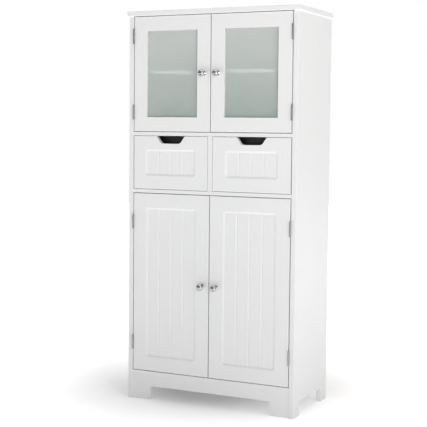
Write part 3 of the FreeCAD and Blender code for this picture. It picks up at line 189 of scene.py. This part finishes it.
def hardboard():
    """Back board: white coated on the room side, bare brown fibre behind."""
    made, tree, shader, at = material("hardboard")
    facing = axes(tree, tree.nodes.new("ShaderNodeNewGeometry").outputs["Normal"])
    behind = spread(tree, facing["Y"], 0.0, 1.0, start=-0.5, end=0.5)
    strands = noise(tree, scaled(tree, at, BOARD_STRANDS), detail=5.0, roughness=0.65, distortion=0.6)
    flecks = noise(tree, at, scale=900.0, detail=3.0, roughness=0.7)
    brown = blended(tree, spread(tree, strands, 0.0, 1.0), BOARD_DARK, BOARD_LIGHT)
    brown = blended(tree, spread(tree, flecks, 0.0, 0.6, start=0.55, end=0.75), brown, BOARD_FLECK)
    coat = blended(tree, spread(tree, flecks, 0.0, 1.0), COAT_DARK, COAT_LIGHT)
    tree.links.new(blended(tree, behind, coat, brown), shader.inputs["Base Color"])
    rough = spread(tree, behind, COAT_ROUGHNESS, BOARD_ROUGHNESS, start=0.0, end=1.0)
    tree.links.new(rough, shader.inputs["Roughness"])
    tree.links.new(bumped(tree, strands, BOARD_HEIGHT, strength=0.4), shader.inputs["Normal"])
    return made


def frosted_glass():
    """Sand-blasted pane: light passes, shapes behind blur, with a green body colour and a painted shade
    that darkens it towards the bottom.
    """
    made, tree, shader, at = material("frosted_glass")
    grain = noise(tree, at, scale=1500.0, roughness=0.6)
    cloud = noise(tree, at, scale=14.0, detail=3.0)
    # painted shade: the tint is darker low on the pane and lighter towards its top
    painted_shade_fade = spread(tree, axes(tree, at)["Z"], 0.0, 1.0, start=GLASS_FOOT, end=GLASS_HEAD)
    tint = blended(tree, painted_shade_fade, GLASS_SHADED_TINT, GLASS_LIT_TINT)
    tint = blended(tree, spread(tree, cloud, 0.0, 0.5), tint, GLASS_MEAN)
    tree.links.new(tint, shader.inputs["Base Color"])
    tree.links.new(spread(tree, grain, *GLASS_ROUGHNESS), shader.inputs["Roughness"])
    shader.inputs["Transmission Weight"].default_value = GLASS_CLEARNESS
    shader.inputs["IOR"].default_value = GLASS_IOR
    tree.links.new(bumped(tree, grain, GLASS_HEIGHT, strength=0.5), shader.inputs["Normal"])
    clear = tree.nodes.new("ShaderNodeBsdfTransparent")
    clear.inputs["Color"].default_value = (*GLASS_PASS, 1.0)
    shadow = tree.nodes.new("ShaderNodeLightPath").outputs["Is Shadow Ray"]
    surface = tree.nodes["Material Output"].inputs["Surface"]
    switched(tree, shadow, shader.outputs["BSDF"], clear.outputs["BSDF"], surface)
    return made


def metal(name, colour, dull, rough, grain, depth):
    """Plated metal: a polish that varies a little, and fine lines left by the polishing wheel."""
    made, tree, shader, at = material(name)
    lines = noise(tree, scaled(tree, at, grain), detail=3.0, roughness=0.6)
    haze = noise(tree, at, scale=240.0, detail=3.0)
    tone = blended(tree, spread(tree, haze, 0.0, 1.0), colour, dull)
    tree.links.new(tone, shader.inputs["Base Color"])
    shader.inputs["Metallic"].default_value = 1.0
    tree.links.new(spread(tree, haze, *rough), shader.inputs["Roughness"])
    tree.links.new(bumped(tree, lines, depth, strength=0.3), shader.inputs["Normal"])
    return made


def zinc():
    """Cast cam housing: grey zinc with a coarse crystal spangle."""
    made, tree, shader, at = material("zinc")
    spangle = spread(tree, cells(tree, at, scale=700.0)["Color"], 0.0, 1.0, start=0.1, end=0.9)
    pits = noise(tree, at, scale=1400.0, detail=3.0)
    tree.links.new(blended(tree, spangle, ZINC_DARK, ZINC_LIGHT), shader.inputs["Base Color"])
    shader.inputs["Metallic"].default_value = 1.0
    tree.links.new(spread(tree, pits, *ZINC_ROUGHNESS), shader.inputs["Roughness"])
    tree.links.new(bumped(tree, pits, ZINC_HEIGHT, strength=0.5), shader.inputs["Normal"])
    return made


def plastic(name, colour, worn, rough, depth):
    """Moulded plastic with a fine leather-like grain."""
    made, tree, shader, at = material(name)
    grain = cells(tree, at, scale=900.0)["Distance"]
    cloud = noise(tree, at, scale=60.0, detail=3.0)
    tone = blended(tree, spread(tree, cloud, 0.0, 1.0), colour, worn)
    tree.links.new(tone, shader.inputs["Base Color"])
    tree.links.new(spread(tree, cloud, *rough), shader.inputs["Roughness"])
    tree.links.new(bumped(tree, grain, depth, strength=0.4), shader.inputs["Normal"])
    return made


def beech():
    """Pale dowel wood: long pores and short flecks along the grain."""
    made, tree, shader, at = material("beech")
    grain = noise(tree, scaled(tree, at, BEECH_GRAIN), detail=5.0, roughness=0.6, distortion=0.4)
    flecks = noise(tree, scaled(tree, at, BEECH_PORES))
    wood = blended(tree, spread(tree, grain, 0.0, 1.0), BEECH_DARK, BEECH_LIGHT)
    wood = blended(tree, spread(tree, flecks, 0.0, 0.5, start=0.55, end=0.75), wood, BEECH_FLECK)
    tree.links.new(wood, shader.inputs["Base Color"])
    tree.links.new(spread(tree, grain, *BEECH_ROUGHNESS), shader.inputs["Roughness"])
    tree.links.new(bumped(tree, grain, BEECH_HEIGHT, strength=0.4), shader.inputs["Normal"])
    return made


FINISHES = {
    "white_paint": white_paint(),
    "hardboard": hardboard(),
    "frosted_glass": frosted_glass(),
    "chrome": metal(
        "chrome",
        colour=(0.56, 0.57, 0.58),
        dull=(0.50, 0.51, 0.52),
        rough=(0.05, 0.10),
        grain=(90, 90, 1500),
        depth=0.00002,
    ),
    "nickel": metal(
        "nickel",
        colour=(0.44, 0.435, 0.425),
        dull=(0.36, 0.355, 0.345),
        rough=(0.28, 0.40),
        grain=(1600, 1600, 120),
        depth=0.00004,
    ),
    "zinc": zinc(),
    "black_plastic": plastic(
        "black_plastic",
        colour=(0.012, 0.012, 0.013),
        worn=(0.022, 0.022, 0.023),
        rough=(0.35, 0.5),
        depth=0.0001,
    ),
    "white_plastic": plastic(
        "white_plastic",
        colour=(0.74, 0.74, 0.72),
        worn=(0.80, 0.80, 0.78),
        rough=(0.3, 0.42),
        depth=0.00005,
    ),
    "beech": beech(),
}
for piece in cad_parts.values():
    for slot in piece.material_slots:
        # an imported material may carry a number after its name
        slot.material = FINISHES[slot.material.name.split(".")[0]]

# ---------------------------------------------------------------- floor

FLOOR_RADIUS = 9.0
FLOOR_SEGMENTS = 96
FLOOR_DARK = (0.90, 0.90, 0.90)
FLOOR_LIGHT = (0.93, 0.93, 0.93)
FLOOR_ROUGHNESS = (0.75, 0.85)
FLOOR_SHINE = 0.1

# The floor glows as painted light: least at its darkest spot, which paints the shade around the cabinet,
# and more with the distance from it, so that it melts into the white background.
SHADE_CENTRE = (-0.09, 0.10, 0.0)
SHADE_RADII = (0.14, 0.62)
SHADE_GLOW = (0.085, 0.62)
MELT_RADII = (0.7, 2.8)
MELT_GLOW = (0.0, 0.75)


def on_stage(name, mesh, made):
    """A stage object with one material."""
    mesh.materials.append(made)
    item = bpy.data.objects.new(name, mesh)
    scene.collection.objects.link(item)
    return item


def floor_material():
    """Matt white studio floor with a faint grain, and a painted glow that grows away from its darkest spot.
    """
    made, tree, shader, at = material("studio_floor")
    grain = noise(tree, at, scale=160.0, detail=4.0)
    tone = blended(tree, spread(tree, grain, 0.0, 1.0), FLOOR_DARK, FLOOR_LIGHT)
    tree.links.new(tone, shader.inputs["Base Color"])
    tree.links.new(spread(tree, grain, *FLOOR_ROUGHNESS), shader.inputs["Roughness"])
    shader.inputs["Specular IOR Level"].default_value = FLOOR_SHINE
    shader.inputs["Emission Color"].default_value = (1, 1, 1, 1)
    # painted light: the emission is lowest about SHADE_CENTRE, painting the shadow under and beside the
    # cabinet
    far = tree.nodes.new("ShaderNodeVectorMath")
    far.operation = "DISTANCE"
    tree.links.new(at, far.inputs[0])
    far.inputs[1].default_value = SHADE_CENTRE
    shade = spread(tree, far.outputs["Value"], *SHADE_GLOW, *SHADE_RADII)
    melt = spread(tree, far.outputs["Value"], *MELT_GLOW, *MELT_RADII)
    tree.links.new(computed(tree, "ADD", shade, melt), shader.inputs["Emission Strength"])
    return made


def floor_disc():
    """The floor that the cabinet stands on."""
    disc = bmesh.new()
    bmesh.ops.create_circle(disc, cap_ends=True, radius=FLOOR_RADIUS, segments=FLOOR_SEGMENTS)
    mesh = bpy.data.meshes.new("floor")
    disc.to_mesh(mesh)
    disc.free()
    on_stage("floor", mesh, floor_material())


floor_disc()

# ---------------------------------------------------------------- light

# The world gets brighter upwards and darker towards the right, at these heights and sides of a unit sphere.
WORLD_GLOW = (0.24, 0.36)
WORLD_HEIGHTS = (-0.15, 0.9)
WORLD_SIDE_GLOW = (1.14, 0.82)
WORLD_SIDES = (-1.0, 1.0)
WORLD_TONE = (0.8, 0.8, 0.8)

FELT_DARK = (0.02, 0.02, 0.02)
FELT_LIGHT = (0.05, 0.05, 0.05)
FELT_ROUGHNESS = 0.9


def soft_box(name, size, energy, spot, target):
    """A rectangular lamp at a spot, turned to its target, which the camera doesn't see."""
    lamp = bpy.data.lights.new(name, "AREA")
    lamp.shape = "RECTANGLE"
    lamp.size, lamp.size_y = size
    lamp.energy = energy
    box = bpy.data.objects.new(name, lamp)
    scene.collection.objects.link(box)
    box.location = spot
    box.rotation_mode = "QUATERNION"
    box.rotation_quaternion = (Vector(target) - Vector(spot)).to_track_quat("-Z", "Y")
    box.visible_camera = False


def black_felt():
    """Matt black card with a short nap."""
    made, tree, shader, at = material("flag_felt")
    nap = noise(tree, at, scale=300.0, detail=3.0)
    tone = blended(tree, spread(tree, nap, 0.0, 1.0), FELT_DARK, FELT_LIGHT)
    tree.links.new(tone, shader.inputs["Base Color"])
    shader.inputs["Roughness"].default_value = FELT_ROUGHNESS
    return made


def reflected_flag(size, spot):
    """A dark card that only shows in reflections, as a studio uses to draw dark edges in chrome."""
    wide, deep = size[0] / 2, size[1] / 2
    corners = [(-wide, -deep, 0), (wide, -deep, 0), (wide, deep, 0), (-wide, deep, 0)]
    mesh = bpy.data.meshes.new("flag")
    mesh.from_pydata(corners, [], [(0, 1, 2, 3)])
    flag = on_stage("flag", mesh, black_felt())
    flag.location = spot
    for ray in ("camera", "diffuse", "transmission", "volume_scatter", "shadow"):
        setattr(flag, f"visible_{ray}", False)


def studio_world():
    """A soft light from all round, which the camera sees as plain white."""
    world = bpy.data.worlds.new("studio")
    world.use_nodes = True
    tree = world.node_tree
    seen = tree.nodes["Background"]
    seen.inputs["Color"].default_value = (1, 1, 1, 1)
    seen.inputs["Strength"].default_value = 1.0
    direction = axes(tree, tree.nodes.new("ShaderNodeTexCoord").outputs["Generated"])
    rise = spread(tree, direction["Z"], *WORLD_GLOW, *WORLD_HEIGHTS)
    aside = spread(tree, direction["X"], *WORLD_SIDE_GLOW, *WORLD_SIDES)
    lit = tree.nodes.new("ShaderNodeBackground")
    lit.inputs["Color"].default_value = (*WORLD_TONE, 1.0)
    tree.links.new(computed(tree, "MULTIPLY", rise, aside), lit.inputs["Strength"])
    camera_ray = tree.nodes.new("ShaderNodeLightPath").outputs["Is Camera Ray"]
    surface = tree.nodes["World Output"].inputs["Surface"]
    switched(tree, camera_ray, lit.outputs[0], seen.outputs[0], surface)
    scene.world = world


studio_world()
soft_box("key", size=(1.3, 2.9), energy=32.5, spot=(2.7, -2.3, 1.8), target=(0.0, 0.0, 0.75))
soft_box("top", size=(2.6, 2.6), energy=38.0, spot=(0.4, 0.2, 3.4), target=(0.4, 0.2, 0.0))
reflected_flag(size=(3.0, 1.6), spot=(-0.6, -1.6, 0.12))

# ---------------------------------------------------------------- camera

# The camera stands at the front right with a long lens, pitched slightly down. Angles are degrees.
CAMERA_PLACE = (1.491, -3.188, 0.902)
CAMERA_TURN, CAMERA_PITCH, CAMERA_ROLL = 25.8, 3.9, 0.53
FOCAL_MM = 90.742
SENSOR_MM = 36.0
SHIFT_UP = -0.032787
CLIP_NEAR, CLIP_FAR = 0.05, 60.0


def make_camera():
    """The camera at its place, looking along its turn and pitch and rolled about that line."""
    lens = bpy.data.cameras.new("camera")
    lens.sensor_width = SENSOR_MM
    lens.lens = FOCAL_MM
    lens.shift_y = SHIFT_UP
    lens.clip_start, lens.clip_end = CLIP_NEAR, CLIP_FAR
    camera = bpy.data.objects.new("camera", lens)
    scene.collection.objects.link(camera)
    turn, pitch, roll = (math.radians(angle) for angle in (CAMERA_TURN, CAMERA_PITCH, CAMERA_ROLL))
    level = Vector((-math.sin(turn), math.cos(turn), 0.0)) * math.cos(pitch)
    forward = level - Vector((0.0, 0.0, math.sin(pitch)))
    right = Vector((math.cos(turn), math.sin(turn), 0.0))
    up = right.cross(forward)
    rolled_right = right * math.cos(roll) + up * math.sin(roll)
    rolled_up = up * math.cos(roll) - right * math.sin(roll)
    turned = Matrix((rolled_right, rolled_up, -forward)).transposed()
    camera.matrix_world = Matrix.Translation(CAMERA_PLACE) @ turned.to_4x4()
    scene.camera = camera


make_camera()
